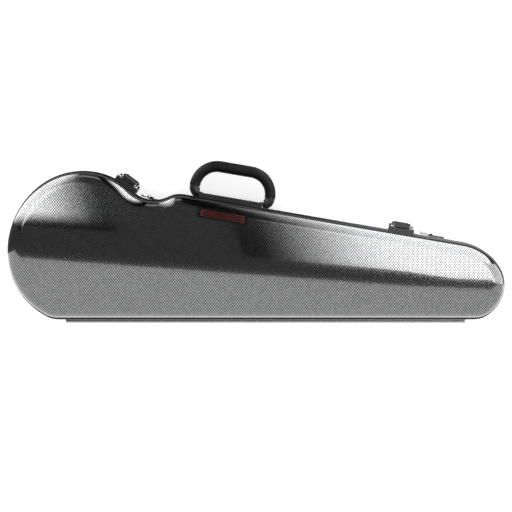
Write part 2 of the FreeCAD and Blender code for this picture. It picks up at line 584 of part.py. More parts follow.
below = box("below_lid_lining", here, (-500, -300, 0), ("1000", "600", "part_z + rim_gap + rim_h + 0.4"))
lid_room = hull("lid_room", "pad", "lid")
posts = []
for label, x, y in (("front", -205.0, 37.0), ("rear", -165.0, 82.0)):
    top = rod(label + "_post_top", here, (x, y, D["spinner_z"] + 6.5), (0, 0, 1), "6", "60")
    pin = rod(label + "_post_pin", here, (x, y, D["spinner_z"] - 1), (0, 0, 1), "spinner_pin_r", "10")
    head = rod(label + "_post_head", here, (x, y, D["spinner_z"] - 2.5), (0, 0, 1), "5", "2")
    posts.append(common(label + "_bow_post", fuse(label + "_post_blank", top, pin, head), lid_void))
    turn = place(x, y, D["spinner_z"], D["bed_turn"])
    arm = box(label + "_arm", turn, (-D["spinner_l"] / 2, -D["spinner_w"] / 2, 0),
              ("spinner_l", "spinner_w", "spinner_t"))
    arm = rounded(label + "_arm_ends", arm, 6.2, lambda e: along(e, ez))
    arm = rounded(label + "_arm_soft", arm, 1.2, lambda e: not along(e, ez))
    cut(label + "_bow_spinner", arm, rod(label + "_arm_bore", turn, (0, 0, -1), (0, 0, 1),
        "spinner_pin_r + 0.05", "spinner_t + 2"))
cut("lid_lining", lid_void, lid_room, below, *posts)
for label, y in (("front", -30.0), ("rear", 38.0)):
    pouch = box(label + "_pouch", place(318, y, 0, D["bed_turn"]), (0, -D["pocket_w"] / 2, D["pocket_z"]),
                ("pocket_l", "pocket_w", "40"))
    pouch = rounded(label + "_pouch_soft", pouch, 4.0, lambda e: e.CenterOfMass.z < D["pocket_z"] + 1)
    mouth = box(label + "_mouth", place(318, y, 0, D["bed_turn"]), (-2, 3 - D["pocket_w"] / 2, D["pocket_z"] + 3),
                ("pocket_l - 2", "pocket_w - 6", "14"))
    cut(label + "_tip_pocket", common(label + "_pouch_fit", pouch, lid_room), mouth)

NODES = ["base_shell", "base_rim", "rim_seal", "feet", "hinge_base_leaf", "hinge_pin", "handle_base", "handle_screws",
         "bout_latch_plate", "neck_latch_plate", "bout_latch_pin", "neck_latch_pin", "latch_rivets",
         "bout_ring_plate", "neck_ring_plate", "bout_ring_boss", "neck_ring_boss", "ring_rivets", "base_lining",
         "tail_pad", "block_pad", "neck_rest", "neck_tie", "lid_shell", "lid_rim", "hinge_lid_leaf", "badge_plate",
         "badge_staff", "bout_latch_keeper", "neck_latch_keeper", "keeper_rivets", "lid_lining", "front_bow_post",
         "rear_bow_post", "front_tip_pocket", "rear_tip_pocket", "handle_bail", "handle_grip", "bout_latch_lever",
         "neck_latch_lever", "bout_latch_link_pin", "neck_latch_link_pin", "bout_latch_claw", "neck_latch_claw",
         "bout_ring", "neck_ring", "front_bow_spinner", "rear_bow_spinner", "compartment_lid", "compartment_tab"]

doc.recompute()
os.makedirs("parts", exist_ok=True)
broken = [o.Label for o in doc.Objects if "Invalid" in o.State or "Error" in o.State]
if broken:
    raise RuntimeError("not rebuilt: " + ", ".join(broken))
for name in NODES:
    shape = doc.getObjectsByLabel(name)[0].Shape
    if shape.isNull() or not shape.isValid() or not shape.Solids:
        raise RuntimeError("bad shape: " + name)
    shape.exportStep("parts/%s.step" % name)
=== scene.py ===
import bmesh
import bpy
import math
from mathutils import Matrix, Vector


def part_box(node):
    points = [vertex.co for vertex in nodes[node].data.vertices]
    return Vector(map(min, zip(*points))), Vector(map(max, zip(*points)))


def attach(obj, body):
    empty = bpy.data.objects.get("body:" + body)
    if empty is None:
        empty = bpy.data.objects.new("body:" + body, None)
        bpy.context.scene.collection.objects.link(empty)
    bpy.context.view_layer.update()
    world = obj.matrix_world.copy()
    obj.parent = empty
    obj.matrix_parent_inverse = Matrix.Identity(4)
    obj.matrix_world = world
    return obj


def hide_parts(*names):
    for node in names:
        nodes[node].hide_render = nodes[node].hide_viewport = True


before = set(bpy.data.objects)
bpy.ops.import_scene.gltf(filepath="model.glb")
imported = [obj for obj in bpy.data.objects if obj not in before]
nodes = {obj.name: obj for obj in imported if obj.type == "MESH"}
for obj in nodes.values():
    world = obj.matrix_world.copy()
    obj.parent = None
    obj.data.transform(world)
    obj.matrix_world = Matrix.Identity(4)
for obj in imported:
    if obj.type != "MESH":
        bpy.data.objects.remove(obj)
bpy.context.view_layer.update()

# ---- Lid shell and base shell ------------------------------------------------------
# Two shells of laminated cloth, silver tows crossed with black ones, moulded under a thick
# clear gloss. Each has a drafted wall, a rolled edge and a shallow crown, 2.8 mm thick.
# Radius and turn in degrees of each arc round the rim; the straight has only its length.
ARCS = [(0.0400, 26.8), (0.1148, 54.9), (0.13178, 58.0), (0.1139, 84.5), (0.0492, -70.6),
        (0.0403, 36.1), (None, 0.4487), (0.0902, 44.5), (0.0552, 72.4), (0.0696, 17.2), (0.0400, 36.2)]
RIDGE = (Vector((0.262, 0.011)), Vector((-0.330, 0.064)))
OUTLINE_START = (0.3142, 0.1241)
RIDGE_RIBS, NOSE_RIBS, BOUT_RIBS = 148, 56, 100
LAMINATE = 0.0028
LIP = 0.0025
DRAFT = math.radians(2.5)
CROWN_CENTRE = (0.150, 0.021)
CROWN_TURN = math.radians(-5.1)


def plan_outline():
    """Close-set points round the rims' outer face, each with its outward direction."""
    (x, y), heading, points = OUTLINE_START, 0.0, []
    for radius, amount in ARCS:
        if radius is None:
            for i in range(600):
                along = amount * i / 600
                points.append((Vector((x + along * math.cos(heading), y - along * math.sin(heading))),
                               Vector((math.sin(heading), math.cos(heading)))))
            x, y = x + amount * math.cos(heading), y - amount * math.sin(heading)
            continue
        turn = math.radians(amount)
        swing = math.copysign(radius, turn)
        cx, cy = x - swing * math.sin(heading), y - swing * math.cos(heading)
        steps = max(40, int(radius * abs(turn) / 0.0006))
        for i in range(steps):
            h = heading + turn * i / steps
            points.append((Vector((cx + swing * math.sin(h), cy + swing * math.cos(h))),
                           Vector((math.sin(h), math.cos(h)))))
        heading += turn
        x, y = cx + swing * math.sin(heading), cy + swing * math.cos(heading)
    first = Vector(OUTLINE_START)
    for i in range(800):
        points.append((Vector((x, y)).lerp(first, i / 800), Vector((0.0, 1.0))))
    return points


def plan_ribs():
    """Where each rib leaves the rim, its outward direction, and its foot on the ridge."""
    start, end = RIDGE
    line = end - start
    heading = math.atan2(line.y, line.x)
    side = range(RIDGE_RIBS + 1)
    ways = [(start.lerp(end, k / RIDGE_RIBS), heading + math.pi / 2) for k in side]
    ways += [(end, heading + math.pi / 2 - math.pi * k / NOSE_RIBS) for k in range(1, NOSE_RIBS)]
    ways += [(end.lerp(start, k / RIDGE_RIBS), heading - math.pi / 2) for k in side]
    ways += [(start, heading - math.pi / 2 - math.pi * k / BOUT_RIBS) for k in range(1, BOUT_RIBS)]
    edge = plan_outline()
    ribs = []
    for foot, angle in ways:
        way = Vector((math.cos(angle), math.sin(angle)))
        best = None
        for (p, n), (q, m) in zip(edge, edge[1:] + edge[:1]):
            a, b = way.cross(p - foot), way.cross(q - foot)
            if a * b <= 0 and a != b and way.dot(p - foot) > 0:
                t = a / (a - b)
                best = (p.lerp(q, t), n.lerp(m, t).normalized(), foot)
        ribs.append(best)
    return ribs


RIBS = plan_ribs()
# Up or down, z of the wall's edge and of the crown, the crown's long and cross radii, edge radius.
FORMS = {"lid": (1, 0.0686, 0.131, 12.0, 0.420, 0.021), "base": (-1, 0.064, 0.007, 24.0, 1.5, 0.018)}


def crown_height(side, p, grow):
    """Height of the crown over a plan point, with the crown grown outwards."""
    up, _, peak, long_r, cross_r, _ = FORMS[side]
    dx, dy = p.x - CROWN_CENTRE[0], p.y - CROWN_CENTRE[1]
    u = dx * math.cos(CROWN_TURN) + dy * math.sin(CROWN_TURN)
    v = -dx * math.sin(CROWN_TURN) + dy * math.cos(CROWN_TURN)
    tube = cross_r + grow
    ring = long_r - cross_r + math.sqrt(tube * tube - v * v)
    return peak - up * long_r + up * math.sqrt(ring * ring - u * u)


def crown_normal(side, p, grow):
    step = 0.0005
    slopes = []
    for way in (Vector((step, 0)), Vector((0, step))):
        rise = crown_height(side, p + way, grow) - crown_height(side, p - way, grow)
        slopes.append(rise / (2 * step))
    return (Vector((-slopes[0], -slopes[1], 1.0)) * FORMS[side][0]).normalized()


def rib_points(side, grow, rib, crown_steps):
    """Points up one rib, from the wall's edge to the ridge, and the cloth's run to each."""
    p, n, foot = rib
    up, start, _, _, _, edge_r = FORMS[side]
    ball = edge_r + grow
    lip = LIP - grow
    centre_z = start + up * 0.03
    for _ in range(14):
        inset = lip + abs(centre_z - start) * math.tan(DRAFT) + ball / math.cos(DRAFT)
        middle = p - n * inset
        centre_z = crown_height(side, middle, grow - ball)
    centre = Vector((middle.x, middle.y, centre_z))
    wall_way = Vector((n.x * math.cos(DRAFT), n.y * math.cos(DRAFT), up * math.sin(DRAFT)))
    top_way = crown_normal(side, middle, grow - ball)
    first = centre + wall_way * ball
    line = []
    for k in range(6):
        z = start + (first.z - start) * k / 6
        side_in = p - n * (lip + abs(z - start) * math.tan(DRAFT))
        line.append(Vector((side_in.x, side_in.y, z)))
    for k in range(13):
        line.append(centre + wall_way.slerp(top_way, k / 12) * ball)
    last = line[-1].xy
    runs = [0.0] * len(line)
    for k in range(len(line) - 2, -1, -1):
        runs[k] = runs[k + 1] + (line[k] - line[k + 1]).length
    cloth = [last + n * r for r in runs]
    for k in range(1, crown_steps + 1):
        q = last.lerp(foot, k / crown_steps)
        line.append(Vector((q.x, q.y, crown_height(side, q, grow))))
        cloth.append(q)
    return line, cloth


def new_piece(name, bm):
    """Object made from the bmesh, which is then freed, and put in the scene."""
    mesh = bpy.data.meshes.new(name)
    bm.to_mesh(mesh)
    bm.free()
    piece = bpy.data.objects.new(name, mesh)
    bpy.context.scene.collection.objects.link(piece)
    return piece


def moulded_shell(name, side, grow, crown_steps, body, shift=None):
    """Shell skin raised ring by ring from the wall's edge to the ridge, with its cloth map."""
    lines = [rib_points(side, grow, rib, crown_steps) for rib in RIBS]
    if shift:
        lines = [([shift(q) for q in line], cloth) for line, cloth in lines]
    bm = bmesh.new()
    ring = [bm.verts.new(line[0]) for line, _ in lines]
    rows = [ring]
    edges = [bm.edges.new((a, b)) for a, b in zip(ring, ring[1:] + ring[:1])]
    cloth_of = {v: cloth[0] for v, (_, cloth) in zip(ring, lines)}
    for k in range(1, len(lines[0][0])):
        bmesh.ops.extrude_edge_only(bm, edges=edges)
        bm.verts.ensure_lookup_table()
        fresh = list(bm.verts)[-len(lines):]
        seat = {old: i for i, old in enumerate(rows[-1])}
        placed = [None] * len(lines)
        for v in fresh:
            for e in v.link_edges:
                i = seat.get(e.other_vert(v))
                if i is not None:
                    placed[i] = v
        for i, v in enumerate(placed):
            v.co = lines[i][0][k]
            cloth_of[v] = lines[i][1][k]
        rows.append(placed)
        edges = [bm.edges.get((a, b)) for a, b in zip(placed, placed[1:] + placed[:1])]
    weave = bm.loops.layers.uv.new("weave")
    for f in bm.faces:
        f.smooth = True
        for loop in f.loops:
            loop[weave].uv = cloth_of[loop.vert]
    bmesh.ops.remove_doubles(bm, verts=bm.verts, dist=0.00002)
    bmesh.ops.dissolve_degenerate(bm, edges=bm.edges, dist=0.000001)
    bmesh.ops.recalc_face_normals(bm, faces=bm.faces)
    probe = max(bm.faces, key=lambda f: f.calc_center_median().z * FORMS[side][0])
    if probe.normal.z * FORMS[side][0] < 0:
        bmesh.ops.reverse_faces(bm, faces=bm.faces)
    piece = new_piece(name, bm)
    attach(piece, body)
    return piece


def thicken(piece, wall, offset=-1.0):
    solid = piece.modifiers.new("wall", "SOLIDIFY")
    solid.thickness = wall
    solid.offset = offset
    solid.use_even_offset = False


def new_material(name, color, rough, metallic=0.0, **sockets):
    """Material with its own Principled shader; sockets are set on the shader itself."""
    m = bpy.data.materials.new(name)
    m.use_nodes = True
    shader = m.node_tree.nodes["Principled BSDF"]
    shader.inputs["Base Color"].default_value = (*color, 1.0)
    shader.inputs["Roughness"].default_value = rough
    shader.inputs["Metallic"].default_value = metallic
    for socket, value in sockets.items():
        shader.inputs[socket.replace("_", " ")].default_value = value
    return m, m.node_tree, shader


def add_bump(tree, shader, height, strength, distance):
    """Fine relief on a shader, taken from a height output."""
    relief = tree.nodes.new("ShaderNodeBump")
    relief.inputs["Strength"].default_value = strength
    relief.inputs["Distance"].default_value = distance
    tree.links.new(height, relief.inputs["Height"])
    tree.links.new(relief.outputs[0], shader.inputs["Normal"])


class Group:
    """Shader node group with named inputs and outputs, filled in by short calls."""

    def __init__(self, name, inputs, outputs):
        self.tree = bpy.data.node_groups.new(name, "ShaderNodeTree")
        for label, kind, value in inputs:
            s = self.tree.interface.new_socket(label, in_out="INPUT", socket_type="NodeSocket" + kind)
            if value is not None:
                s.default_value = value
        for label, kind in outputs:
            self.tree.interface.new_socket(label, in_out="OUTPUT", socket_type="NodeSocket" + kind)
        self.source = self.tree.nodes.new("NodeGroupInput")
        self.sink = self.tree.nodes.new("NodeGroupOutput")

    def join(self, a, b):
        self.tree.links.new(a, b)

    def math(self, op, a, b=None, clamp=False):
        n = self.tree.nodes.new("ShaderNodeMath")
        n.operation = op
        n.use_clamp = clamp
        for i, v in enumerate((a, b)):
            if v is None:
                continue
            if isinstance(v, (int, float)):
                n.inputs[i].default_value = v
            else:
                self.join(v, n.inputs[i])
        return n.outputs[0]

    def blend(self, fac, a, b):
        n = self.tree.nodes.new("ShaderNodeMix")
        n.data_type = "RGBA"
        for socket, v in ((n.inputs[0], fac), (n.inputs[6], a), (n.inputs[7], b)):
            if isinstance(v, (int, float, tuple)):
                socket.default_value = v
            else:
                self.join(v, socket)
        return n.outputs[2]

    def ramp(self, value, low, high, to_low, to_high):
        n = self.tree.nodes.new("ShaderNodeMapRange")
        for i, v in enumerate((value, low, high, to_low, to_high)):
            if isinstance(v, (int, float)):
                n.inputs[i].default_value = v
            else:
                self.join(v, n.inputs[i])
        return n.outputs[0]

    def noise(self, vector, scale, detail=3.0, stretch=None):
        if stretch:
            m = self.tree.nodes.new("ShaderNodeMapping")
            m.inputs["Scale"].default_value = stretch
            self.join(vector, m.inputs["Vector"])
            vector = m.outputs[0]
        n = self.tree.nodes.new("ShaderNodeTexNoise")
        n.inputs["Detail"].default_value = detail
        if isinstance(scale, (int, float)):
            n.inputs["Scale"].default_value = scale
        else:
            self.join(scale, n.inputs["Scale"])
        self.join(vector, n.inputs["Vector"])
        return n.outputs["Fac"]


weave = Group("crossed_tows", [("Cloth", "Vector", None), ("Tow Across", "Float", 0.0020),
                               ("Tow Along", "Float", 0.0025)],
              [("Color", "Color"), ("Silver", "Float"), ("Roughness", "Float"), ("Height", "Float")])
parts = weave.tree.nodes.new("ShaderNodeSeparateXYZ")
weave.join(weave.source.outputs["Cloth"], parts.inputs[0])
col = weave.math("DIVIDE", parts.outputs[0], weave.source.outputs["Tow Across"])
row = weave.math("DIVIDE", parts.outputs[1], weave.source.outputs["Tow Along"])
col_i, row_i = weave.math("FLOOR", col), weave.math("FLOOR", row)
col_f, row_f = weave.math("FRACT", col), weave.math("FRACT", row)
silver = weave.math("FLOORED_MODULO", weave.math("ADD", col_i, row_i), 2.0)
cell = weave.tree.nodes.new("ShaderNodeCombineXYZ")
weave.join(col_i, cell.inputs[0])
weave.join(row_i, cell.inputs[1])
speck = weave.tree.nodes.new("ShaderNodeTexWhiteNoise")
speck.noise_dimensions = "2D"
weave.join(cell.outputs[0], speck.inputs["Vector"])
hump_x = weave.math("SINE", weave.math("MULTIPLY", col_f, math.pi))
hump_y = weave.math("SINE", weave.math("MULTIPLY", row_f, math.pi))
pillow = weave.math("MULTIPLY", hump_x, hump_y)
fibres_x = weave.noise(weave.source.outputs["Cloth"], 1.0, 1.0, (9000.0, 500.0, 1.0))
fibres_y = weave.noise(weave.source.outputs["Cloth"], 1.0, 1.0, (500.0, 9000.0, 1.0))
tone_and_tow_shade = weave.math("MULTIPLY", weave.ramp(speck.outputs["Value"], 0.0, 1.0, 0.82, 1.12),
                    weave.ramp(fibres_x, 0.3, 0.7, 0.85, 1.1))
# Painted shade: the silver tows' colour darkens towards each cell's edge, where the tows dip under each
# other; the speck and fibre variation is the cloth's own tone.
tone_and_tow_shade = weave.math("MULTIPLY", tone_and_tow_shade, weave.ramp(pillow, 0.0, 0.5, 0.45, 1.0))
tone = weave.tree.nodes.new("ShaderNodeCombineColor")
for socket, share in zip(tone.inputs[:3], (0.215, 0.218, 0.222)):
    weave.join(weave.math("MULTIPLY", tone_and_tow_shade, share), socket)
dark = weave.tree.nodes.new("ShaderNodeCombineColor")
black = weave.math("MULTIPLY", weave.ramp(fibres_y, 0.3, 0.7, 0.6, 1.3), 0.0015)
for socket in dark.inputs[:3]:
    weave.join(black, socket)
weave.join(weave.blend(silver, dark.outputs[0], tone.outputs[0]), weave.sink.inputs["Color"])
weave.join(silver, weave.sink.inputs["Silver"])
weave.join(weave.ramp(silver, 0.0, 1.0, 0.42, 0.11), weave.sink.inputs["Roughness"])
weave.join(weave.math("ADD", pillow, weave.math("MULTIPLY", fibres_x, 0.15)), weave.sink.inputs["Height"])

carbon, tree, shader = new_material("woven_laminate", (0.1, 0.1, 0.1), 0.2, Coat_Weight=1.0,
                                    Coat_Roughness=0.02, Coat_IOR=1.5, Specular_IOR_Level=0.0)
cloth_map = tree.nodes.new("ShaderNodeUVMap")
cloth_map.uv_map = "weave"
tows = tree.nodes.new("ShaderNodeGroup")
tows.node_tree = weave.tree
tree.links.new(cloth_map.outputs[0], tows.inputs["Cloth"])
tree.links.new(tows.outputs["Color"], shader.inputs["Base Color"])
tree.links.new(tows.outputs["Silver"], shader.inputs["Metallic"])
tree.links.new(tows.outputs["Roughness"], shader.inputs["Roughness"])
add_bump(tree, shader, tows.outputs["Height"], 0.05, 0.0001)

for side, steps in (("lid", 26), ("base", 18)):
    skin = moulded_shell(side + "_laminate", side, 0.0, steps, side)
    skin.data.materials.append(carbon)
    thicken(skin, LAMINATE)
    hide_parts(side + "_shell")

# ---- Rims, seal and feet -----------------------------------------------------------
# Gloss black extruded rims glued over the shells' edges, a soft black seal in the base
# rim's groove, and four moulded rubber feet under the base.
grain = Group("moulded_grain", [("Place", "Vector", None), ("Tint", "Color", (0.02, 0.02, 0.02, 1)),
                                ("Worn", "Color", (0.05, 0.05, 0.05, 1)), ("Grain Scale", "Float", 2500.0),
                                ("Rough Low", "Float", 0.3), ("Rough High", "Float", 0.4)],
              [("Color", "Color"), ("Roughness", "Float"), ("Height", "Float")])
place = grain.source.outputs["Place"]
fine = grain.noise(place, grain.source.outputs["Grain Scale"], 2.0)
smudge = grain.noise(place, 23.0, 5.0)
scuffs = grain.noise(place, 60.0, 4.0, (1.0, 9.0, 9.0))
wear = grain.math("MULTIPLY", grain.ramp(smudge, 0.5, 0.75, 0.0, 1.0),
                  grain.ramp(scuffs, 0.45, 0.7, 0.0, 0.7),
                  clamp=True)
grain.join(grain.blend(wear, grain.source.outputs["Tint"], grain.source.outputs["Worn"]),
           grain.sink.inputs["Color"])
grain.join(grain.ramp(smudge, 0.3, 0.7, grain.source.outputs["Rough Low"],
                      grain.source.outputs["Rough High"]),
           grain.sink.inputs["Roughness"])
grain.join(fine, grain.sink.inputs["Height"])


def place_group(tree, group):
    """The group's node in a material, on Object coordinates."""
    coords = tree.nodes.new("ShaderNodeTexCoord")
    node = tree.nodes.new("ShaderNodeGroup")
    node.node_tree = group.tree
    tree.links.new(coords.outputs["Object"], node.inputs["Place"])
    return node


def moulded(name, tint, worn, rough, grain_scale, bump, metallic=0.0, **sockets):
    """Finish with fine grain, smudges and a little wear, set on Object coordinates."""
    m, tree, shader = new_material(name, tint, rough[0], metallic, **sockets)
    g = place_group(tree, grain)
    g.inputs["Tint"].default_value = (*tint, 1.0)
    g.inputs["Worn"].default_value = (*worn, 1.0)
    g.inputs["Grain Scale"].default_value = grain_scale
    g.inputs["Rough Low"].default_value, g.inputs["Rough High"].default_value = rough
    tree.links.new(g.outputs["Color"], shader.inputs["Base Color"])
    tree.links.new(g.outputs["Roughness"], shader.inputs["Roughness"])
    add_bump(tree, shader, g.outputs["Height"], bump, 0.0002)
    return m


def dress(material, *names):
    for name in names:
        for s in nodes[name].material_slots:
            s.material = material


dress(moulded("rim_gloss", (0.004, 0.004, 0.0045), (0.010, 0.010, 0.011), (0.10, 0.18), 900.0, 0.04),
      "base_rim", "lid_rim")
dress(moulded("seal_rubber", (0.010, 0.010, 0.010), (0.025, 0.025, 0.025), (0.6, 0.8), 3000.0, 0.3),
      "rim_seal")
dress(moulded("foot_rubber", (0.014, 0.014, 0.014), (0.06, 0.058, 0.055), (0.65, 0.85), 2200.0, 0.5), "feet")

# ---- Piano hinge -------------------------------------------------------------------
# Grey-nickelled steel, rolled from strip: two leaves with alternating knuckles on one long pin,
# held to the straight spine. Drawn metal, so its marks run along the hinge.
dress(moulded("hinge_grey_nickel", (0.17, 0.17, 0.17), (0.10, 0.10, 0.10), (0.28, 0.40), 1800.0, 0.12, 1.0),
      "hinge_base_leaf", "hinge_lid_leaf", "hinge_pin")

# ---- Handle ------------------------------------------------------------------------
# A nylon bar screwed to the base, a tube bent into a bail that swings in it, and a rubber
# sleeve over the bail, all black. Its nylon also does for the bow posts and spinners, and its
# screws' steel for the pins, rivets and ring bosses.
dress(moulded("handle_nylon", (0.004, 0.004, 0.0045), (0.012, 0.012, 0.012), (0.30, 0.42), 3200.0, 0.2,
              Specular_IOR_Level=0.2),
      "handle_base", "handle_bail", "front_bow_post", "rear_bow_post", "front_bow_spinner",
      "rear_bow_spinner")
dress(moulded("grip_rubber", (0.0025, 0.0025, 0.0025), (0.007, 0.007, 0.007), (0.34, 0.46), 2600.0, 0.25,
              Specular_IOR_Level=0.08), "handle_grip")
dress(moulded("screw_steel", (0.42, 0.42, 0.42), (0.3, 0.3, 0.3), (0.25, 0.4), 2400.0, 0.1, 1.0),
      "handle_screws", "bout_latch_pin", "neck_latch_pin", "bout_latch_link_pin", "neck_latch_link_pin",
      "latch_rivets", "keeper_rivets", "ring_rivets", "bout_ring_boss", "neck_ring_boss")

# ---- Draw latches and strap rings --------------------------------------------------
# Stamped steel in black enamel: plate, forked lever and claw on the base, keeper on the lid.
# Beside each one, a black plate holds a chromed wire ring for the strap.
dress(moulded("latch_enamel", (0.005, 0.005, 0.006), (0.03, 0.03, 0.03), (0.22, 0.34), 1500.0, 0.12,
              Specular_IOR_Level=0.3),
      "bout_latch_plate", "neck_latch_plate", "bout_latch_lever", "neck_latch_lever", "bout_latch_claw",
      "neck_latch_claw", "bout_latch_keeper", "neck_latch_keeper", "bout_ring_plate", "neck_ring_plate")
dress(moulded("ring_chrome", (0.75, 0.76, 0.78), (0.6, 0.6, 0.6), (0.06, 0.14), 1200.0, 0.04, 1.0),
      "bout_ring", "neck_ring")

# ---- Badge -------------------------------------------------------------------------
# A thin black plate bonded to the lid by the handle, with a five-line music staff in red
# enamel laid into it.
dress(moulded("badge_black", (0.003, 0.003, 0.003), (0.008, 0.008, 0.008), (0.12, 0.2), 2000.0, 0.05,
              Specular_IOR_Level=0.2), "badge_plate")
dress(moulded("badge_red", (0.10, 0.002, 0.004), (0.07, 0.002, 0.003), (0.25, 0.35), 2000.0, 0.06,
              Specular_IOR_Level=0.2), "badge_staff")

# ---- Padded lining of base and lid -------------------------------------------------
# Foam glued in and covered in wine-red pile fabric, hollowed for the instrument in the base
# and quilted over the crown in the lid. The pile's colour is painted lighter where its tips catch the light
# and darker deep in the pile, in patches: painted sheen and painted shade.
pile = Group("pile_fabric", [("Place", "Vector", None), ("Shaded Pile", "Color", (0.05, 0.004, 0.008, 1)),
                             ("Lit Tips", "Color", (0.16, 0.012, 0.025, 1))],
             [("Color", "Color"), ("Roughness", "Float"), ("Height", "Float")])
spot = pile.source.outputs["Place"]
tufts = pile.noise(spot, 1400.0, 4.0)
brushed = pile.noise(spot, 14.0, 5.0, (1.0, 2.5, 1.0))
lit_pile_mask = pile.math("ADD", pile.math("MULTIPLY", tufts, 0.45), pile.math("MULTIPLY", brushed, 0.75), clamp=True)
# Painted sheen and painted shade: the colour runs from a painted shaded pile tone to a painted lit tip tone
# in noise patches.
pile.join(pile.blend(pile.ramp(lit_pile_mask, 0.35, 0.8, 0.0, 1.0), pile.source.outputs["Shaded Pile"],
                     pile.source.outputs["Lit Tips"]), pile.sink.inputs["Color"])
pile.join(pile.ramp(tufts, 0.3, 0.7, 0.8, 0.95), pile.sink.inputs["Roughness"])
pile.join(tufts, pile.sink.inputs["Height"])


def pile_material(name, shaded_pile, lit_tips):
    m, tree, shader = new_material(name, lit_tips, 0.9, Sheen_Weight=0.22, Sheen_Roughness=0.35,
                                   Sheen_Tint=(0.9, 0.35, 0.4, 1.0), Specular_IOR_Level=0.2)
    g = place_group(tree, pile)
    g.inputs["Shaded Pile"].default_value = (*shaded_pile, 1.0)
    g.inputs["Lit Tips"].default_value = (*lit_tips, 1.0)
    tree.links.new(g.outputs["Color"], shader.inputs["Base Color"])
    tree.links.new(g.outputs["Roughness"], shader.inputs["Roughness"])
    add_bump(tree, shader, g.outputs["Height"], 0.5, 0.0009)
    return m


# The two colours are the pile's painted shaded tone and its painted lit tone.
velvet = pile_material("wine_velvet", (0.026, 0.0015, 0.003), (0.15, 0.007, 0.016))


def covered_foam(name, node, voxel, rounds, material, body):
    """Foam's own form taken over from its solid, with its edges softened by the cover."""
    bm = bmesh.new()
    bm.from_mesh(nodes[node].data)
    bmesh.ops.remove_doubles(bm, verts=bm.verts, dist=0.00001)
    piece = new_piece(name, bm)
    even = piece.modifiers.new("even", "REMESH")
    even.mode = "VOXEL"
    even.voxel_size = voxel
    dg = bpy.context.evaluated_depsgraph_get()
    piece.data = bpy.data.meshes.new_from_object(piece.evaluated_get(dg))
    piece.modifiers.clear()
    bm = bmesh.new()
    bm.from_mesh(piece.data)
    for _ in range(rounds):
        bmesh.ops.smooth_vert(bm, verts=bm.verts, factor=0.5, use_axis_x=True, use_axis_y=True,
                              use_axis_z=True)
    for f in bm.faces:
        f.smooth = True
    bm.to_mesh(piece.data)
    bm.free()
    piece.data.materials.clear()
    piece.data.materials.append(material)
    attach(piece, body)
    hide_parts(node)
    return piece


covered_foam("bed_foam", "base_lining", 0.0035, 4, velvet, "base")


QUILT_PITCH, QUILT_DEPTH, SEAM_WIDTH = 0.075, 0.0022, 0.07
LINING_EDGE_Z, LINING, LINING_IN = 0.0762, 0.0028, 0.0048


def quilted(q):
    """The lid's lining sinks a little along its sewn diamonds."""
    a, b = (q.x + q.y) / QUILT_PITCH, (q.x - q.y) / QUILT_PITCH
    seam = min(abs(a - round(a)), abs(b - round(b)))
    depth = QUILT_DEPTH * math.exp(-(seam / SEAM_WIDTH) ** 2) if q.z > 0.1 else 0.0
    return Vector((q.x, q.y, q.z + depth))


pad = moulded_shell("lid_quilt", "lid", -LAMINATE - LINING_IN, 40, "lid", quilted)
pad.data.materials.append(velvet)
trim = bmesh.new()
trim.from_mesh(pad.data)
bmesh.ops.bisect_plane(trim, geom=trim.verts[:] + trim.edges[:] + trim.faces[:],
                       plane_co=(0, 0, LINING_EDGE_Z), plane_no=(0, 0, 1), clear_inner=True)
trim.to_mesh(pad.data)
trim.free()
thicken(pad, LINING, 1.0)
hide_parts("lid_lining")

# ---- Cushions, neck rest, pockets, accessory box lid -------------------------------
# Small stuffed pads sewn from the same pile, pressed up by their filling, glued to the foam
# where the instrument bears on them. The box lid is a board in the same cover.
cushion_velvet = pile_material("deep_velvet", (0.022, 0.002, 0.004), (0.10, 0.007, 0.016))


UNFILLED, ROOM_ROUND, GLUE_LINE = 0.94, 0.001, 0.0002


def stuffed(name, node, body, cap, voxel=0.0025):
    """Pad blown up by its filling in a cloth run, its swelling held to a cap."""
    low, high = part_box(node)
    piece = covered_foam(name, node, voxel, 2, cushion_velvet, body)
    centre = (low + high) / 2
    for v in piece.data.vertices:
        v.co = centre + (v.co - centre) * UNFILLED
    cloth = piece.modifiers.new("filling", "CLOTH")
    cloth.settings.use_pressure = True
    cloth.settings.uniform_pressure_force = 6.0
    cloth.settings.mass = 0.12
    cloth.settings.tension_stiffness = cloth.settings.compression_stiffness = 8.0
    cloth.settings.effector_weights.gravity = 0.0
    cloth.settings.quality = 4
    scene = bpy.context.scene
    for number in range(1, 21):
        scene.frame_set(number)
    dg = bpy.context.evaluated_depsgraph_get()
    blown = bpy.data.meshes.new_from_object(piece.evaluated_get(dg))
    for v, b in zip(piece.data.vertices, blown.vertices):
        move = b.co - v.co
        v.co += move * min(1.0, cap / max(move.length, 1e-9))
    piece.modifiers.clear()
    scene.frame_set(1)
    for v in piece.data.vertices:
        v.co = Vector([min(max(c, a - ROOM_ROUND), b + ROOM_ROUND) for c, a, b in zip(v.co, low, high)])
        v.co.z = max(v.co.z, low.z + GLUE_LINE)
    soft = piece.modifiers.new("soft", "SUBSURF")
    soft.levels = soft.render_levels = 1
    return piece


stuffed("tail_cushion", "tail_pad", "base", 0.003)
stuffed("block_cushion", "block_pad", "base", 0.003)
stuffed("neck_cradle", "neck_rest", "base", 0.002)
for which in ("front", "rear"):
    pouch = covered_foam(which + "_tip_pouch", which + "_tip_pocket", 0.0016, 2, cushion_velvet, "lid")
stuffed("box_lid_pad", "compartment_lid", "compartment", 0.001)

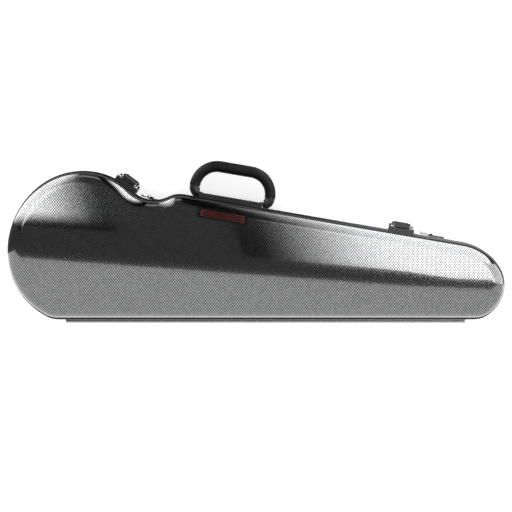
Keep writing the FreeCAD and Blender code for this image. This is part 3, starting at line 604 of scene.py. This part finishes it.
# ---- Neck tie and pull tab ---------------------------------------------------------
# A ribbed ribbon sewn down both sides of the neck channel, and a folded leather tab to lift
# the accessory box lid by.
ribbed = Group("ribbed_ribbon", [("Place", "Vector", None)], [("Color", "Color"), ("Height", "Float")])
ribs_at = ribbed.tree.nodes.new("ShaderNodeSeparateXYZ")
ribbed.join(ribbed.source.outputs["Place"], ribs_at.inputs[0])
wave = ribbed.math("SINE", ribbed.math("MULTIPLY", ribs_at.outputs[0], 5200.0))
threads = ribbed.noise(ribbed.source.outputs["Place"], 1500.0)
# Painted shade: the colour is lighter on the rib crests and darker in the troughs between the ribs; the
# thread noise is the ribbon's own tone.
ribbed.join(ribbed.blend(ribbed.math("MULTIPLY", threads, ribbed.ramp(wave, -1.0, 1.0, 0.5, 1.2)),
                         (0.012, 0.010, 0.010, 1.0), (0.10, 0.085, 0.08, 1.0)), ribbed.sink.inputs["Color"])
ribbed.join(wave, ribbed.sink.inputs["Height"])
ribbon, tree, shader = new_material("neck_ribbon", (0.04, 0.03, 0.03), 0.7, Sheen_Weight=0.2)
g = place_group(tree, ribbed)
tree.links.new(g.outputs["Color"], shader.inputs["Base Color"])
add_bump(tree, shader, g.outputs["Height"], 0.5, 0.0003)
dress(ribbon, "neck_tie")
dress(moulded("tab_leather", (0.05, 0.018, 0.010), (0.12, 0.05, 0.03), (0.5, 0.7), 1100.0, 0.6),
      "compartment_tab")

# ---- Floor, lights and camera ------------------------------------------------------
# A plain pale floor under an even pale light, with large soft boxes that only the gloss
# sees. They lie to both sides, so the crown's reflections part along the case.
scene = bpy.context.scene
scene.view_settings.view_transform = "Standard"
bm = bmesh.new()
bmesh.ops.create_grid(bm, x_segments=2, y_segments=2, size=14.0)
floor = new_piece("floor", bm)
paper, tree, shader = new_material("pale_floor", (0.94, 0.94, 0.94), 0.9, Specular_IOR_Level=0.0,
                                   Emission_Color=(1.0, 1.0, 1.0, 1.0), Emission_Strength=0.22)
coords = tree.nodes.new("ShaderNodeTexCoord")
mottle = tree.nodes.new("ShaderNodeTexNoise")
mottle.inputs["Scale"].default_value = 3.0
tree.links.new(coords.outputs["Object"], mottle.inputs["Vector"])
shade = tree.nodes.new("ShaderNodeMix")
shade.data_type = "RGBA"
shade.inputs[6].default_value = (0.93, 0.93, 0.93, 1.0)
shade.inputs[7].default_value = (0.95, 0.95, 0.95, 1.0)
tree.links.new(mottle.outputs["Fac"], shade.inputs[0])
tree.links.new(shade.outputs[2], shader.inputs["Base Color"])
floor.data.materials.append(paper)
floor.visible_glossy = False

world = bpy.data.worlds.new("studio")
scene.world = world
world.use_nodes = True
world.node_tree.nodes["Background"].inputs["Color"].default_value = (1.0, 1.0, 1.0, 1.0)
world.node_tree.nodes["Background"].inputs["Strength"].default_value = 1.5
world.cycles_visibility.glossy = False


def glow_material(name, strength):
    """Plain glow, given with its tree and Emission node so that a fade can be joined on."""
    m = bpy.data.materials.new(name)
    m.use_nodes = True
    tree = m.node_tree
    tree.nodes.clear()
    glow = tree.nodes.new("ShaderNodeEmission")
    glow.inputs["Strength"].default_value = strength
    out = tree.nodes.new("ShaderNodeOutputMaterial")
    tree.links.new(glow.outputs[0], out.inputs[0])
    return m, tree, glow


def gloss_only(piece):
    """Piece that only reflections see: hidden from the camera, diffuse light, shadows and transmission."""
    piece.visible_camera = piece.visible_diffuse = False
    piece.visible_shadow = piece.visible_transmission = False


def soft_box(name, corners, strength, fades=()):
    """Glowing card seen only by gloss; each fade is an axis, its dim end and its full end."""
    bm = bmesh.new()
    bm.faces.new([bm.verts.new(c) for c in corners])
    card = new_piece(name, bm)
    m, tree, glow = glow_material(name, strength)
    if fades:
        at = tree.nodes.new("ShaderNodeTexCoord")
        xyz = tree.nodes.new("ShaderNodeSeparateXYZ")
        tree.links.new(at.outputs["Object"], xyz.inputs[0])
        level = None
        for axis, dim, full in fades:
            fade = tree.nodes.new("ShaderNodeMapRange")
            fade.interpolation_type = "SMOOTHSTEP"
            fade.inputs[1].default_value, fade.inputs[2].default_value = min(dim, full), max(dim, full)
            fade.inputs[3].default_value, fade.inputs[4].default_value = (0, 1) if dim < full else (1, 0)
            tree.links.new(xyz.outputs[axis], fade.inputs[0])
            product = tree.nodes.new("ShaderNodeMath")
            product.operation = "MULTIPLY"
            tree.links.new(fade.outputs[0], product.inputs[0])
            if level:
                tree.links.new(level, product.inputs[1])
            else:
                product.inputs[1].default_value = strength
            level = product.outputs[0]
        tree.links.new(level, glow.inputs["Strength"])
    card.data.materials.append(m)
    gloss_only(card)


TOP, WALL_FOOT, FRONT_FOOT = 2.0, -7.0, -2.5
soft_box("spine_card", [(3.0, 3.0, TOP), (-3.0, 3.0, TOP), (-3.0, 0.12, TOP), (-0.8, 0.185, TOP),
                        (-0.48, 0.235, TOP), (0.54, 0.235, TOP), (3.0, 0.12, TOP)], 2.0)
soft_box("spine_wall", [(3.0, 3.0, TOP), (-3.0, 3.0, TOP), (-3.0, 3.0, WALL_FOOT), (3.0, 3.0, WALL_FOOT)],
         2.0)
soft_box("bout_wall", [(3.0, 0.12, TOP), (3.0, 3.0, TOP), (3.0, 3.0, WALL_FOOT), (3.0, 0.12, WALL_FOOT)], 2.0)
soft_box("nose_wall",
         [(-3.0, 0.12, TOP), (-3.0, 3.0, TOP), (-3.0, 3.0, WALL_FOOT), (-3.0, 0.12, WALL_FOOT)], 2.0)
soft_box("bout_edge",
         [(1.1, -0.3, TOP), (1.1, -1.3, TOP), (2.4, -2.6, FRONT_FOOT), (2.4, -0.8, FRONT_FOOT)], 7.0,
         [(1, -0.45, -0.85), (2, -2.3, -0.4)])
soft_box("bout_front",
         [(0.35, -1.3, TOP), (1.1, -1.3, TOP), (2.4, -2.6, FRONT_FOOT), (0.7, -3.0, FRONT_FOOT)], 6.0,
         [(0, 0.35, 0.95), (2, -2.3, -0.4)])
soft_box("nose_front", [(-0.02, -1.0, TOP), (-2.6, -1.0, TOP), (-2.6, -2.6, -1.6), (-0.02, -2.6, -1.6)], 7.0,
         [(0, -0.20, -0.70), (2, -1.6, -0.5)])
soft_box("nose_edge",
         [(-1.4, 0.03, TOP), (-1.4, -1.0, TOP), (-2.9, -1.6, FRONT_FOOT), (-2.9, 0.10, FRONT_FOOT)], 4.0,
         [(2, -2.4, -0.6)])
soft_box("nose_card", [(-1.4, 0.03, TOP), (-1.4, -1.0, TOP), (-0.02, -1.0, TOP), (-0.02, -0.05, TOP),
                       (-0.48, -0.01, TOP), (-0.65, 0.06, TOP), (-0.8, 0.03, TOP)], 8.0, [(0, -0.08, -0.56)])
soft_box("bout_card", [(1.1, -0.3, TOP), (0.35, -0.3, TOP), (0.35, -1.3, TOP), (1.1, -1.3, TOP)], 8.5,
         [(0, 0.38, 0.65), (1, -0.35, -0.6)])
soft_box("front_card", [(3.0, -3.0, -0.7), (-3.0, -3.0, -0.7), (-3.0, -3.0, 0.9), (3.0, -3.0, 0.9)], 1.3,
         [(2, -0.7, -0.1), (2, 0.9, 0.3)])
bm = bmesh.new()
bmesh.ops.create_icosphere(bm, subdivisions=3, radius=9.0)
room = new_piece("dim_room", bm)
room.data.materials.append(glow_material("dim_room", 0.20)[0])
gloss_only(room)

SENSOR, FOCUS_DISTANCE, FIELD = 36.0, 3.13, 0.816
eye = bpy.data.cameras.new("camera")
eye.sensor_width = SENSOR
eye.lens = SENSOR * FOCUS_DISTANCE / FIELD
eye.clip_end = 60.0
camera = bpy.data.objects.new("camera", eye)
camera.location = (0.0, 0.0231, 3.2)
camera.rotation_euler = (0.0, 0.0, math.pi)
scene.collection.objects.link(camera)
scene.camera = camera
